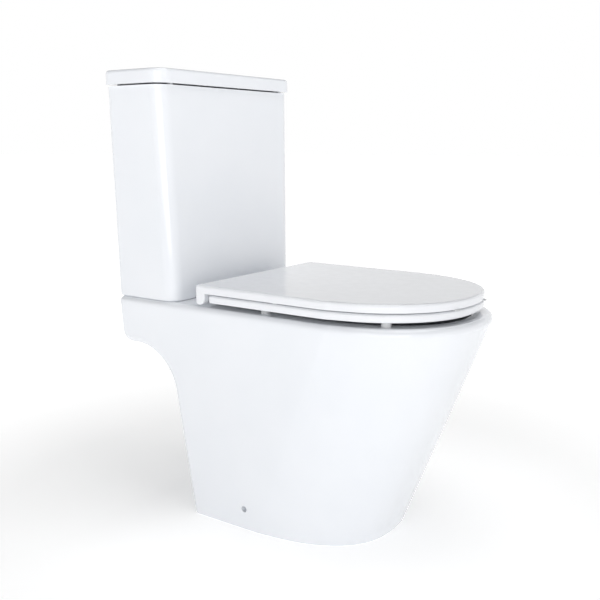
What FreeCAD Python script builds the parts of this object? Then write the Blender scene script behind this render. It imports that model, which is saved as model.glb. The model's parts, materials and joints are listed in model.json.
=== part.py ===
import FreeCAD, Part
import math
import os
import re

import Sketcher
from FreeCAD import Placement, Rotation, Vector

# Close coupled toilet. Millimetres, +Z up, the user in front on -Y and the wall on +Y.
# The origin is on the floor, under the middle of the whole object.
# Sizes that end in _back are distances from the wall, and are turned into Y by y_at and from_wall.

SIZES = (
    # name, value, what it is
    ("overall_depth", 642, "from the wall to the front of the pan"),
    ("deck_height", 400, "floor to the pan's deck, where the cistern and the seat stand"),
    # pan, outside
    ("pan_width", 360, "widest part of the pan, just under the deck"),
    ("pan_nose", 226, "length of the rounded front at the deck"),
    ("pan_nose_power", 2.2, "squareness of the rounded front at the deck"),
    ("pan_edge_radius", 10, "rounding of the deck's outer edge"),
    ("pan_rear_back", 4, "wall to the shelf's rear face"),
    ("hollow_corner_radius", 5, "plan rounding of the hollow's rear corners"),
    ("base_width", 294, "width of the foot"),
    ("base_setback", 155, "foot's front behind the pan's front"),
    ("base_nose", 233, "length of the rounded front at the floor"),
    ("base_nose_power", 2.53, "squareness of the rounded front at the floor"),
    ("foot_radius", 3, "rounding of the foot's lower edge"),
    ("shelf_depth", 86, "deck down to the lower edge of the shelf's side"),
    ("shelf_corner_radius", 22, "rounding of the shelf's rear lower corner"),
    ("shelf_sweep_radius", 85, "sweep from the shelf's side into the pedestal"),
    ("pedestal_top_back", 119, "wall to the pedestal's rear edge, carried up to the shelf"),
    ("pedestal_foot_back", 149, "wall to the pedestal's rear edge at the floor"),
    ("rear_edge_radius", 13, "rounding of the rear edges of shelf and pedestal"),
    ("china_wall", 12, "wall of the hollow pan"),
    ("deck_thickness", 16, "thickness of the deck"),
    # bowl and trap
    ("bowl_rear_back", 268, "wall to the rear of the bowl's mouth"),
    ("bowl_front_rim", 31, "width of the rim at the front"),
    ("bowl_mouth_width", 276, "width of the bowl's mouth"),
    ("bowl_mouth_radius", 6, "rounding of the mouth's edge"),
    ("sump_back", 377, "wall to the middle of the sump"),
    ("sump_floor", 60, "floor to the bottom of the sump"),
    ("sump_reach", 28, "half length of the sump's bottom"),
    ("sump_half_width", 26, "half width of the sump's bottom"),
    ("throat_fall", 0.84, "throat's share of the fall from the deck to the sump's bottom"),
    ("throat_reach", 50, "middle of the sump to its front wall, above the bottom"),
    ("throat_half_width", 42, "half width of the sump above the bottom"),
    ("trap_bore", 60, "bore of the trap"),
    ("trap_wall", 10, "wall of the trap"),
    ("trap_inlet_height", 92, "height of the trap's inlet"),
    ("trap_dip_back", 268, "wall to the trap's low turn"),
    ("trap_dip_height", 74, "height of the trap's low turn"),
    ("weir_back", 212, "wall to the trap's high turn"),
    ("weir_height", 214, "height of the trap's high turn before rounding"),
    ("trap_dip_bend", 54, "bend radius of the trap's low turn"),
    ("trap_weir_bend", 50, "bend radius of the trap's high turn"),
    ("trap_outlet_bend", 60, "bend radius where the trap meets the outlet"),
    ("outlet_height", 190, "floor to the middle of the outlet"),
    ("outlet_radius", 51, "outside of the outlet spigot"),
    ("outlet_bore_radius", 40, "inside of the outlet spigot"),
    ("outlet_end_back", 30, "wall to the end of the spigot"),
    ("outlet_length", 118, "length of the spigot's straight part"),
    ("trap_run_out", 20, "trap's straight end inside the spigot"),
    ("flush_duct_width", 76, "width of the water way under the deck"),
    ("flush_duct_height", 42, "height of the water way under the deck"),
    ("flush_duct_wall", 11, "wall of the water way"),
    ("flush_duct_margin", 3, "water way's rear end behind the tank's outlet"),
    ("fixing_hole_radius", 5.8, "side hole for the floor fixing"),
    ("fixing_hole_back", 272, "wall to the side hole"),
    ("fixing_hole_height", 40, "floor to the side hole"),
    # cistern
    ("cistern_top_width", 371, "width of the tank at its top"),
    ("cistern_base_width", 349, "width of the tank at the deck"),
    ("cistern_top_depth", 130.5, "depth of the tank at its top"),
    ("cistern_base_depth", 141.5, "depth of the tank at the deck"),
    ("cistern_height", 372.7, "height of the tank"),
    ("cistern_front_radius", 24, "plan rounding of the front corners"),
    ("cistern_rear_radius", 14, "plan rounding of the rear corners"),
    ("cistern_edge_radius", 4, "rounding of the tank's lower edge"),
    ("cistern_wall", 10, "wall of the tank"),
    ("cistern_floor", 12, "floor of the tank"),
    ("plinth_wall", 12, "wall of the raised floor over the coupling recess"),
    ("coupling_recess_width", 190, "recess under the tank for the coupling plate"),
    ("coupling_recess_depth", 96, "front to back size of that recess"),
    ("coupling_recess_height", 20, "height of that recess"),
    ("flush_back", 68, "wall to the flush valve, the inlet and the buttons"),
    ("tank_outlet_gap", 1.2, "clearance of the hole for the flush valve's tail"),
    ("wall_screw_radius", 4, "hole in the tank's back for a wall screw"),
    ("wall_screw_spacing", 180, "distance between the two wall screws"),
    ("wall_screw_drop", 60.7, "top of the tank down to the wall screws"),
    # cistern lid
    ("lid_overhang", 5, "tank's lid past the tank, on each side"),
    ("lid_front_overhang", 5.5, "tank's lid past the tank's front"),
    ("lid_thickness", 24.5, "thickness of the tank's lid"),
    ("lid_front_radius", 27, "plan rounding of the lid's corners"),
    ("lid_edge_radius", 6, "rounding of the lid's top edge"),
    ("lid_plate", 10, "thickness of the lid over its hollow underside"),
    ("lid_border", 17, "width of the lid's solid border"),
    ("lid_gap", 2.3, "shadow gap between tank and lid, held by four pads"),
    ("lid_pad_size", 7, "side of a pad"),
    # seat
    ("seat_side_inset", 5, "seat and seat lid inside the pan's widest part, on each side"),
    ("seat_front_inset", 16, "front of seat and seat lid behind the pan's front"),
    ("seat_nose", 210, "length of the seat's rounded front"),
    ("seat_nose_power", 2.2, "squareness of the seat's rounded front"),
    ("seat_rear_back", 217, "wall to the rear edge of the seat ring"),
    ("seat_gap", 8, "gap between deck and seat ring, held by the buffers"),
    ("seat_thickness", 13.6, "thickness of the seat ring"),
    ("seat_edge_radius", 4, "rounding of the seat ring's edges"),
    ("seat_hole_width", 222, "width of the seat's opening"),
    ("seat_hole_rear_back", 296, "wall to the rear of the seat's opening"),
    ("seat_front_border", 60, "width of the seat ring at its front"),
    ("seat_lid_gap", 1.9, "shadow gap between seat ring and seat lid, held by the lid's buffers"),
    ("seat_lid_thickness", 13.5, "thickness of the seat lid"),
    ("seat_lid_rear_back", 188, "wall to the rear edge of the seat lid"),
    ("seat_lid_edge_radius", 4.5, "rounding of the seat lid's top edge"),
    ("seat_lid_recess", 4, "depth of the recess under the seat lid"),
    ("seat_lid_border", 16, "border round that recess"),
    ("seat_corner_radius", 9, "plan rounding of the rear corners"),
    # seat hinge
    ("hinge_back", 200, "wall to the hinge axis"),
    ("hinge_rise", 16, "deck to the hinge axis"),
    ("hinge_spacing", 155, "distance between the two hinge posts"),
    ("hinge_post_width", 15, "width of a post along the hinge axis"),
    ("hinge_knuckle_radius", 6.8, "radius of post and seat knuckle round the axis"),
    ("hinge_stem_depth", 10, "front to back size of a post's stem, clear of the opened lid"),
    ("hinge_cover_radius", 12, "radius of the lid's rolled hinge cover"),
    ("hinge_pin_radius", 4, "radius of the hinge pin"),
    ("hinge_side_gap", 1.5, "side gap between neighbours on the axis"),
    ("seat_knuckle_width", 10, "width of a seat knuckle"),
    ("seat_knuckle_step", 1.5, "knuckle's arm above the seat ring's underside"),
    ("seat_knuckle_drop", 0.5, "knuckle's arm below the seat ring's top"),
    ("damper_radius", 6, "radius of a soft-close damper"),
    ("damper_length", 40, "length of a soft-close damper"),
    ("hinge_flange_radius", 15, "radius of a post's foot"),
    ("hinge_flange_height", 1.8, "thickness of a post's foot"),
    ("seat_buffer_radius", 8, "radius of a seat buffer"),
    ("seat_buffer_rear_inset", 22, "side of the seat to its rear buffers"),
    ("seat_buffer_rear_place", 30, "rear of the seat's opening to the rear buffers"),
    ("seat_buffer_front_inset", 43, "side of the seat to its front buffers"),
    ("seat_buffer_front_place", 86, "front of the seat to the front buffers"),
    ("lid_buffer_radius", 6, "radius of a lid buffer"),
    ("lid_buffer_side_inset", 9, "side of the seat lid to its side buffers"),
    ("lid_buffer_side_place", 60, "rear of the seat's opening to the side buffers"),
    ("lid_buffer_front_across", 51, "middle to a front lid buffer"),
    ("seat_hole_gap", 3.5, "clearance of the hole in the deck for a seat fixing"),
    # fasteners and fits
    ("stud_radius", 4, "radius of every coupling bolt and seat stud"),
    ("running_gap", 0.06, "radial clearance of a nut on its thread and of a pin in its bore"),
    ("body_gap", 0.3, "clearance between parts that move past each other"),
    ("coupling_bolt_spacing", 152, "distance between the coupling bolts"),
    ("coupling_hole_gap", 2.5, "clearance of the holes for the coupling bolts"),
    ("bolt_head_radius", 8, "radius of a bolt's head"),
    ("bolt_head_height", 6, "height of a bolt's head"),
    ("washer_radius", 12, "radius of the fixing washers"),
    ("rubber_washer_height", 3, "thickness of the rubber washers"),
    ("steel_washer_height", 2, "thickness of the steel washers"),
    ("wing_nut_radius", 7.5, "radius of a wing nut's hub"),
    ("wing_nut_height", 9, "height of a wing nut's hub"),
    ("wing_span", 36, "width across the wings"),
    ("wing_thickness", 3, "thickness of a wing"),
    ("wing_height", 12.6, "height of the wings, which reach below the hub"),
    ("wing_gap", 4, "gap in the wings under the hub, for the stud"),
    ("stud_tail", 7, "length of a stud past its nut"),
    ("plate_thickness", 2.5, "thickness of the coupling plate"),
    ("plate_margin", 3, "coupling plate's edge from the wall of its recess"),
    ("doughnut_rim", 6, "rubber doughnut's skirt outside the flush valve's nut"),
    ("doughnut_floor", 7, "thickness of the doughnut under that nut"),
    ("tail_stop", 4, "end of the flush valve's tail above the deck"),
    # flush valve
    ("tail_radius", 29.8, "threaded tail of the flush valve"),
    ("tail_bore_radius", 25, "bore of the flush valve's tail"),
    ("valve_flange_width", 10.2, "flange of the flush valve outside its tail"),
    ("valve_flange_height", 5, "thickness of that flange"),
    ("valve_seat_height", 5, "height of the seal's seat above the flange"),
    ("cage_radius", 34, "cage of the flush valve"),
    ("cage_wall", 3.5, "wall of the cage"),
    ("cage_height", 84, "height of the cage"),
    ("cage_top", 4, "thickness of the cage's top"),
    ("window_width", 30, "width of a window in the cage"),
    ("window_height", 41, "height of a window in the cage"),
    ("window_rise", 8, "window's sill above the seal's seat"),
    ("core_radius", 12, "overflow tube of the core"),
    ("core_wall", 2, "wall of the overflow tube"),
    ("core_guide_gap", 1, "clearance of the overflow tube in the cage's top"),
    ("core_height", 207, "height of the overflow tube"),
    ("core_flange_radius", 27, "flange of the core"),
    ("core_flange_height", 4, "thickness of the core's flange"),
    ("seal_height", 3, "thickness of the flush seal"),
    ("valve_head_drop", 82.7, "top of the tank down to the underside of the valve's head"),
    ("valve_head_height", 22, "height of the valve's head"),
    ("valve_head_radius", 32, "radius of the valve's head"),
    ("pillar_radius", 4, "pillars that carry the head"),
    ("pillar_spacing", 50, "distance between the pillars"),
    ("plunger_radius", 5, "radius of a plunger"),
    ("plunger_cap_radius", 7.5, "radius of a plunger's cap"),
    ("plunger_cap_height", 2, "thickness of that cap"),
    ("plunger_rise", 7, "plunger's cap above the head at rest"),
    ("plunger_depth", 12, "plunger's depth in its well at rest"),
    ("plunger_well", 20, "depth of a plunger's well"),
    # fill valve
    ("fill_across", 128, "middle to the fill valve"),
    ("inlet_radius", 10.4, "threaded inlet tail, half inch pipe thread"),
    ("inlet_bore_radius", 6, "bore of the fill valve"),
    ("inlet_drop", 34, "deck down to the end of the inlet tail"),
    ("inlet_hole_gap", 0.6, "clearance of the inlet tail in the tank's floor"),
    ("inlet_relief_width", 1.5, "groove in the inlet tail just under its nut"),
    ("inlet_relief_depth", 0.6, "depth of that groove"),
    ("deck_inlet_radius", 26, "hole in the deck round the inlet tail"),
    ("fill_flange_width", 6.6, "flange of the fill valve outside its inlet tail"),
    ("fill_flange_height", 4, "thickness of that flange"),
    ("fill_riser_radius", 9, "riser of the fill valve"),
    ("fill_head_rise", 240, "deck to the fill valve's head"),
    ("fill_head_radius", 21, "radius of the fill valve's head"),
    ("fill_head_height", 40, "height of the fill valve's head"),
    ("fill_nut_height", 8, "thickness of the fill valve's nut"),
    ("fill_nut_width", 8.6, "corners of the fill valve's nut outside its thread"),
    ("strainer_length", 22, "length of the inlet strainer"),
    ("strainer_wall", 1.5, "wall of the inlet strainer"),
    ("float_hinge_reach", 27, "riser to the float arm's hinge"),
    ("float_hinge_rise", 28, "fill valve head's underside to the float arm's hinge"),
    ("float_hinge_radius", 2, "radius of the float arm's pin"),
    ("float_arm_width", 6, "width of the float arm"),
    ("float_arm_height", 9, "height of the float arm"),
    ("float_arm_reach", 26, "hinge to the adjuster rod"),
    ("float_rod_radius", 2.5, "radius of the adjuster rod"),
    ("float_radius", 16, "radius of the float"),
    ("float_height", 45, "height of the float"),
    ("float_drop", 33, "hinge to the float's top"),
    ("float_lug", 4, "thickness of a lug at the float arm's hinge"),
    ("float_lug_height", 14, "height of those lugs"),
    ("float_lug_nose", 5, "lugs past the hinge axis"),
    ("float_slot_reach", 6.5, "slot between the lugs, past the hinge axis"),
    ("float_arm_end", 4, "arm past the hinge axis, towards the valve"),
    ("float_arm_nose", 6, "arm past the adjuster rod's middle"),
    ("float_screw_radius", 1.8, "radius of the adjuster rod's upper end"),
    ("float_screw_rise", 3, "adjuster rod above the arm"),
    ("float_wall", 2, "wall of the float"),
    # push buttons
    ("button_hole_gap", 0.5, "clearance of the sleeve in the tank's lid"),
    ("bezel_width", 5.5, "flange of the bezel outside its sleeve"),
    ("bezel_height", 3, "thickness of that flange"),
    ("sleeve_radius", 21.5, "threaded sleeve of the bezel"),
    ("sleeve_wall", 1.5, "wall of the sleeve"),
    ("sleeve_length", 27, "length of the sleeve below the lid's top"),
    ("sleeve_floor", 3, "floor of the sleeve"),
    ("sleeve_nut_height", 8, "thickness of the sleeve's nut"),
    ("sleeve_nut_width", 7, "corners of the sleeve's nut outside its thread"),
    ("bezel_bevel", 1, "bevel of the bezel's edge"),
    ("button_side_gap", 0.4, "clearance of the pair of buttons in the sleeve"),
    ("button_height", 12, "height of a button"),
    ("button_sink", 0.5, "buttons below the bezel's top"),
    ("button_split", 5, "middle to the split between the buttons"),
    ("button_gap", 0.6, "gap between the buttons"),
    ("button_edge_radius", 1.2, "rounding of a button's top edge"),
    ("full_rod_across", 8, "middle to the full flush rod, on the -X side"),
    ("half_rod_across", 12, "middle to the half flush rod, on the +X side"),
    ("rod_radius", 3, "radius of a push rod"),
    ("spring_radius", 4.4, "mean radius of a return spring"),
    ("spring_wire_radius", 0.5, "wire of a return spring"),
    ("spring_turns", 5, "turns of a return spring"),
)

BOWL_ROWS = (
    # share of the fall from the deck, then inset at the rear, the front, the widest part and the side
    (-0.02, 0, 0, 0, 0),
    (0.16, -2, 16, 4, 1),
    (0.42, 16, 64, 14, 24),
    (0.66, 46, 136, 26, 64),
)

DERIVED = (
    # name, formula over the sizes above and before, what it is
    ("base_front_back", "overall_depth - base_setback", "wall to the front of the foot"),
    ("shelf_underside", "deck_height - shelf_depth", "floor to the lower edge of the shelf's side"),
    ("tank_outlet_radius", "tail_radius + tank_outlet_gap", "hole for the flush valve's tail"),
    ("wall_screw_height", "deck_height + cistern_height - wall_screw_drop", "floor to the wall screws"),
    ("lid_width", "cistern_top_width + 2 * lid_overhang", "width of the tank's lid"),
    ("lid_depth", "cistern_top_depth + lid_front_overhang", "depth of the tank's lid"),
    ("seat_width", "pan_width - 2 * seat_side_inset", "width of seat and seat lid"),
    ("seat_front_back", "overall_depth - seat_front_inset", "wall to the front of seat and lid"),
    ("seat_hole_front_back", "seat_front_back - seat_front_border", "wall to the opening's front"),
    ("hinge_height", "deck_height + hinge_rise", "floor to the hinge axis"),
    ("seat_hole_radius", "stud_radius + seat_hole_gap", "hole in the deck for a seat fixing"),
    ("coupling_hole_radius", "stud_radius + coupling_hole_gap", "holes for the coupling bolts"),
    ("valve_head_bottom", "deck_height + cistern_height - valve_head_drop", "floor to the valve's head"),
    ("inlet_bottom", "deck_height - inlet_drop", "floor to the end of the inlet tail"),
    ("fill_head_bottom", "deck_height + fill_head_rise", "floor to the fill valve's head"),
    ("float_hinge_height", "fill_head_bottom + float_hinge_rise", "floor to the float arm's hinge"),
    ("valve_flange_radius", "tail_radius + valve_flange_width", "flange of the flush valve"),
    ("fill_flange_radius", "inlet_radius + fill_flange_width", "flange of the fill valve"),
    ("fill_nut_radius", "inlet_radius + fill_nut_width", "corner radius of the fill valve's nut"),
    ("bezel_radius", "sleeve_radius + bezel_width", "flange of the bezel"),
    ("sleeve_nut_radius", "sleeve_radius + sleeve_nut_width", "corner radius of the sleeve's nut"),
    ("button_hole_radius", "sleeve_radius + button_hole_gap", "hole in the tank's lid"),
    ("sleeve_bore_radius", "sleeve_radius - sleeve_wall", "inside of the sleeve"),
    ("button_radius", "sleeve_bore_radius - button_side_gap", "radius of the pair of buttons"),
)

doc = FreeCAD.newDocument("CloseCoupledToilet")
sheet = doc.addObject("Spreadsheet::Sheet", "Sizes")
rows = [(name, str(value), note) for name, value, note in SIZES]
rows += [(name, "=" + text, note) for name, text, note in DERIVED]
for row, (name, value, note) in enumerate(rows, start=1):
    sheet.set(f"A{row}", name)
    sheet.set(f"B{row}", value)
    sheet.setAlias(f"B{row}", name)
    sheet.set(f"C{row}", note)
doc.recompute()

nodes = {}

NEAR = 0.01  # two places closer than this are the same
SPARE = 40  # how far a tool reaches past what it cuts

TURN = {
    "X": Rotation(Vector(0, 1, 0), 90),
    "Y": Rotation(Vector(1, 0, 0), -90),
    "Z": Rotation(),
}


# ---------------------------------------------------------------- helpers

def size(name):
    """The value of a size in the sheet."""
    return float(sheet.get(name))


def y_at(back):
    """Y of a place that is back millimetres from the wall."""
    return size("overall_depth") / 2 - back


def from_wall(text):
    """The same as y_at, for a formula."""
    return f"overall_depth / 2 - ({text})"


def formula(text):
    """A formula over the sheet: each word in the text is a size."""
    return re.sub(r"[a-z][a-z_]*", lambda word: "Sizes." + word.group(), text)


def bind(thing, **formulas):
    for name, text in formulas.items():
        thing.setExpression(name, formula(text))


def put(thing, x, y, z):
    for axis, text in zip("xyz", (x, y, z)):
        thing.setExpression("Placement.Base." + axis, formula(text))


def node(label, thing):
    """Names a finished sub-part."""
    thing.Label = label
    nodes[label] = thing
    return thing


def box(name, width, depth, height, x="0", y="0", z="0"):
    """A box whose x and y are its middle and whose z is its bottom."""
    solid = doc.addObject("Part::Box", name)
    bind(solid, Length=width, Width=depth, Height=height)
    put(solid, f"{x} - ({width}) / 2", f"{y} - ({depth}) / 2", z)
    return solid


def cylinder(name, radius, height, x="0", y="0", z="0", along="Z"):
    solid = doc.addObject("Part::Cylinder", name)
    solid.Placement = Placement(Vector(), TURN[along])
    bind(solid, Radius=radius, Height=height)
    put(solid, x, y, z)
    return solid


def hexagon(name, radius, height, x="0", y="0", z="0"):
    solid = doc.addObject("Part::Prism", name)
    solid.Polygon = 6
    bind(solid, Circumradius=radius, Height=height)
    put(solid, x, y, z)
    return solid


def fuse(name, *parts):
    whole = doc.addObject("Part::MultiFuse", name)
    whole.Shapes = list(parts)
    return whole


def cut(name, base, *tools):
    tool = tools[0] if len(tools) == 1 else fuse(name + "_tools", *tools)
    rest = doc.addObject("Part::Cut", name)
    rest.Base = base
    rest.Tool = tool
    return rest


def tube(name, radius, bore, height, x="0", y="0", z="0"):
    outer = cylinder(name + "_outer", radius, height, x, y, z)
    inner = cylinder(name + "_bore", bore, height, x, y, z)
    return cut(name, outer, inner)


def pair(name, source):
    """The source and its mirror image on the other side of the middle."""
    twin = doc.addObject("Part::Mirroring", name + "_twin")
    twin.Source = source
    twin.Normal = Vector(1, 0, 0)
    both = doc.addObject("Part::Compound", name)
    both.Links = [source, twin]
    return both


def revolved(name, corners, x="0", y="0", z="0"):
    """A body turned about its own Z from a closed profile of (radius, height) formulas."""
    body = doc.addObject("PartDesign::Body", name)
    plane = next(f for f in body.Origin.OriginFeatures if f.Role == "XZ_Plane")
    sketch = body.newObject("Sketcher::SketchObject", name + "_profile")
    sketch.AttachmentSupport = [(plane, "")]
    sketch.MapMode = "FlatFace"
    # rough places only: the formulas below set them
    rough = [Vector(10 + 3 * math.cos(i), 10 + 3 * i, 0) for i in range(len(corners))]
    for i, start in enumerate(rough):
        sketch.addGeometry(Part.LineSegment(start, rough[(i + 1) % len(rough)]))
    for i in range(len(corners)):
        sketch.addConstraint(Sketcher.Constraint("Coincident", i, 2, (i + 1) % len(corners), 1))
    for i, (radius, height) in enumerate(corners):
        for kind, axis, text in (("DistanceX", -2, radius), ("DistanceY", -1, height)):
            if text == "0":
                sketch.addConstraint(Sketcher.Constraint("PointOnObject", i, 1, axis))
                continue
            index = sketch.addConstraint(Sketcher.Constraint(kind, -1, 1, i, 1, 10 + i))
            sketch.setExpression(f"Constraints[{index}]", formula(text))
    turned = body.newObject("PartDesign::Revolution", name + "_turned")
    turned.Profile = sketch
    turned.ReferenceAxis = (sketch, ["V_Axis"])
    turned.Angle = 360
    put(body, x, y, z)
    return body


def feature(name, shape):
    """A sub-part whose shape is made with Part's own functions from sizes in the sheet."""
    thing = doc.addObject("Part::Feature", name)
    thing.Shape = shape
    thing.Placement = Placement()
    return thing


# ---------------------------------------------------------------- outlines and china shapes

def superellipse(angle, across, along, power):
    """A point of a superellipse as (across, along)."""
    c, s = math.cos(angle), math.sin(angle)
    return (across * math.copysign(abs(c) ** (2 / power), c),
            along * math.copysign(abs(s) ** (2 / power), s))


def tongue(z, rear_back, front_back, half_width, nose, power, corner):
    """A plan outline: square rear with rounded corners, straight sides and a rounded nose."""
    steps = 16
    start = y_at(front_back - nose)
    nose_points = []
    for i in range(steps + 1):
        across, along = superellipse(math.pi * i / steps, half_width, nose, power)
        nose_points.append(Vector(across, start - along, z))
    curve = Part.BSplineCurve()
    curve.interpolate(Points=nose_points, InitialTangent=Vector(0, -1, 0), FinalTangent=Vector(0, 1, 0))
    rear = y_at(rear_back)
    bend = corner * (1 - math.sqrt(0.5))
    right, left = half_width, -half_width
    edges = [
        curve.toShape(),
        Part.makeLine(Vector(left, start, z), Vector(left, rear - corner, z)),
        Part.Arc(Vector(left, rear - corner, z), Vector(left + bend, rear - bend, z),
                 Vector(left + corner, rear, z)).toShape(),
        Part.makeLine(Vector(left + corner, rear, z), Vector(right - corner, rear, z)),
        Part.Arc(Vector(right - corner, rear, z), Vector(right - bend, rear - bend, z),
                 Vector(right, rear - corner, z)).toShape(),
        Part.makeLine(Vector(right, rear - corner, z), Vector(right, start, z)),
    ]
    return Part.Wire(edges)


def egg(z, rear_back, front_back, widest_back, half_width, power=2.2):
    """A closed oval outline whose front and rear halves have their own lengths."""
    steps = 40
    points = []
    for i in range(steps):
        angle = 2 * math.pi * i / steps
        reach = front_back - widest_back if i < steps / 2 else widest_back - rear_back
        across, along = superellipse(angle, half_width, reach, power)
        points.append(Vector(across, y_at(widest_back + along), z))
    curve = Part.BSplineCurve()
    curve.interpolate(Points=points, PeriodicFlag=True)
    return Part.Wire([curve.toShape()])


def rounded_rectangle(z, width, depth, front_radius, rear_radius):
    """A plan outline whose rear lies on the wall."""
    left, right, front, rear = -width / 2, width / 2, y_at(depth), y_at(0)
    corners = [
        (Vector(left, front, z), front_radius),
        (Vector(right, front, z), front_radius),
        (Vector(right, rear, z), rear_radius),
        (Vector(left, rear, z), rear_radius),
    ]
    return rounded_polygon(corners, closed=True)


def rounded_polygon(corners, closed):
    """Straight runs joined by tangent arcs, from (point, radius) pairs."""
    count = len(corners)
    starts, ends, bends = [], [], []
    for i, (point, radius) in enumerate(corners):
        if not closed and i in (0, count - 1):
            starts.append(point)
            ends.append(point)
            bends.append(None)
            continue
        before = (corners[i - 1][0] - point).normalize()
        after = (corners[(i + 1) % count][0] - point).normalize()
        half = before.getAngle(after) / 2
        tangent = radius / math.tan(half)
        middle = (before + after).normalize()
        centre = point + middle * (radius / math.sin(half))
        starts.append(point + before * tangent)
        ends.append(point + after * tangent)
        bends.append(centre - middle * radius)
    edges = []
    for i in range(count):
        if bends[i] is not None:
            edges.append(Part.Arc(starts[i], bends[i], ends[i]).toShape())
        if i < count - 1 or closed:
            edges.append(Part.makeLine(ends[i], starts[(i + 1) % count]))
    return Part.Wire(edges)


def prism(wire, direction):
    return Part.Face(wire).extrude(direction)


def loft(wires):
    """A solid between two outlines, with true planes where its walls are flat."""
    faces = []
    for face in Part.makeLoft(wires, True, True).Faces:
        plane = face.findPlane()
        faces.append(Part.Face(plane, face.OuterWire) if plane else face)
    return Part.Solid(Part.Shell(faces))


def edges_where(shape, test):
    """The edges whose every sampled point passes the test."""
    found = []
    for edge in shape.Edges:
        first, last = edge.ParameterRange
        points = [edge.valueAt(first + (last - first) * k / 8) for k in range(9)]
        if all(test(point) for point in points):
            found.append(edge)
    return found


def lean(run, rise, radius):
    """Slope of a wall that leans out by run over rise, measured at the bulge of its rounded top."""
    slope = run / rise
    for _ in range(20):
        slope = (run + radius * (math.sqrt(1 + slope * slope) - 1)) / (rise - radius)
    return slope


def pan_section(z, inset, rear_back):
    """Plan outline of the pan at a height, drawn in by an inset at the sides and the front."""
    deck = size("deck_height")
    radius = size("pan_edge_radius")
    side_slope = lean((size("pan_width") - size("base_width")) / 2, deck, radius)
    front_slope = lean(size("overall_depth") - size("base_front_back"), deck, radius)
    share = z / deck
    nose = size("base_nose") + (size("pan_nose") - size("base_nose")) * share
    power = size("base_nose_power") + (size("pan_nose_power") - size("base_nose_power")) * share
    return tongue(
        z,
        rear_back,
        size("base_front_back") + front_slope * z - inset,
        size("base_width") / 2 + side_slope * z - inset,
        nose - inset,
        power,
        size("hollow_corner_radius"),
    )


def pan_rear_cutter():
    """Everything behind and under the pan's rear outline, seen from the side."""
    reach = size("pan_width")
    top = size("deck_height") + SPARE
    corner = size("shelf_underside")
    slope = (size("pedestal_foot_back") - size("pedestal_top_back")) / corner
    rear = y_at(size("pan_rear_back"))
    corners = [
        (Vector(-reach, rear, top), 1),
        (Vector(-reach, rear, corner), size("shelf_corner_radius")),
        (Vector(-reach, y_at(size("pedestal_top_back")), corner), size("shelf_sweep_radius")),
        (Vector(-reach, y_at(size("pedestal_foot_back") + slope * SPARE), -SPARE), 1),
    ]
    line = rounded_polygon(corners, closed=False)
    start, end = corners[0][0], corners[-1][0]
    closing = Part.makePolygon([
        end,
        Vector(-reach, y_at(-2 * SPARE), end.z),
        Vector(-reach, y_at(-2 * SPARE), start.z),
        start,
    ])
    wire = Part.Wire(Part.__sortEdges__(line.Edges + closing.Edges))
    return prism(wire, Vector(2 * reach, 0, 0))


def pan_outside():
    deck = size("deck_height")
    solid = Part.makeLoft([pan_section(z, 0, -SPARE) for z in (0, deck)], True, True)
    solid = solid.cut(pan_rear_cutter())
    behind = y_at(size("pedestal_foot_back") + 1)
    beside = size("base_width") / 2 - 1
    rear = edges_where(solid, lambda p: p.y > behind and abs(p.x) > beside)
    solid = solid.makeFillet(size("rear_edge_radius"), rear)
    rim = edges_where(solid, lambda p: abs(p.z - deck) < NEAR)
    solid = solid.makeFillet(size("pan_edge_radius"), rim)
    foot = edges_where(solid, lambda p: abs(p.z) < NEAR)
    return solid.makeFillet(size("foot_radius"), foot)


def bowl(grow):
    """The bowl's hollow, or the outside of its wall when it is grown."""
    deck = size("deck_height")
    rear = size("bowl_rear_back")
    front = size("overall_depth") - size("bowl_front_rim")
    half = size("bowl_mouth_width") / 2
    sump = size("sump_back")
    widest = size("seat_front_back") - size("seat_nose")
    throat, throat_reach, sump_reach = size("throat_fall"), size("throat_reach"), size("sump_reach")
    # share of the fall from the deck, rear, front, place of the widest part, half width there
    rows = [
        (share, rear + behind, front - before, widest - middle, half - side)
        for share, behind, before, middle, side in BOWL_ROWS]
    rows += [
        (throat, sump - throat * throat_reach, sump + throat_reach, sump, size("throat_half_width")),
        (1.0, sump - sump_reach, sump + sump_reach, sump, size("sump_half_width")),
    ]
    wires = []
    for share, back, forward, middle, width in rows:
        drop = grow if share == 1.0 else 0
        z = deck - (deck - size("sump_floor")) * share - drop
        wires.append(egg(z, back - grow, forward + grow, middle, width + grow))
    return Part.makeLoft(wires, True, False)


def trap(radius, start_back):
    """The trap as a round bar of a radius, from the sump over the weir to the outlet."""
    outlet_start = size("outlet_end_back") + size("outlet_length")
    outlet = size("outlet_height")
    route = [
        (Vector(0, y_at(start_back), size("trap_inlet_height")), 1),
        (Vector(0, y_at(size("trap_dip_back")), size("trap_dip_height")), size("trap_dip_bend")),
        (Vector(0, y_at(size("weir_back")), size("weir_height")), size("trap_weir_bend")),
        (Vector(0, y_at(outlet_start), outlet), size("trap_outlet_bend")),
        (Vector(0, y_at(outlet_start - size("trap_run_out")), outlet), 1),
    ]
    path = rounded_polygon(route, closed=False)
    heading = (route[1][0] - route[0][0]).normalize()
    ring = Part.Wire([Part.makeCircle(radius, route[0][0], heading)])
    bar = path.makePipeShell([ring], True, True)
    return bar.fuse(Part.makeSphere(radius, route[0][0]))


def along_y(radius, near_back, far_back, x, z):
    """A round bar along Y between two distances from the wall."""
    return Part.makeCylinder(radius, far_back - near_back, Vector(x, y_at(far_back), z), Vector(0, 1, 0))


def upright(radius, bottom, top, x, back):
    return Part.makeCylinder(radius, top - bottom, Vector(x, y_at(back), bottom))


def block(width, near_back, far_back, bottom, top):
    """A block about the middle, between two distances from the wall."""
    corner = Vector(-width / 2, y_at(far_back), bottom)
    return Part.makeBox(width, far_back - near_back, top - bottom, corner)


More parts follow.
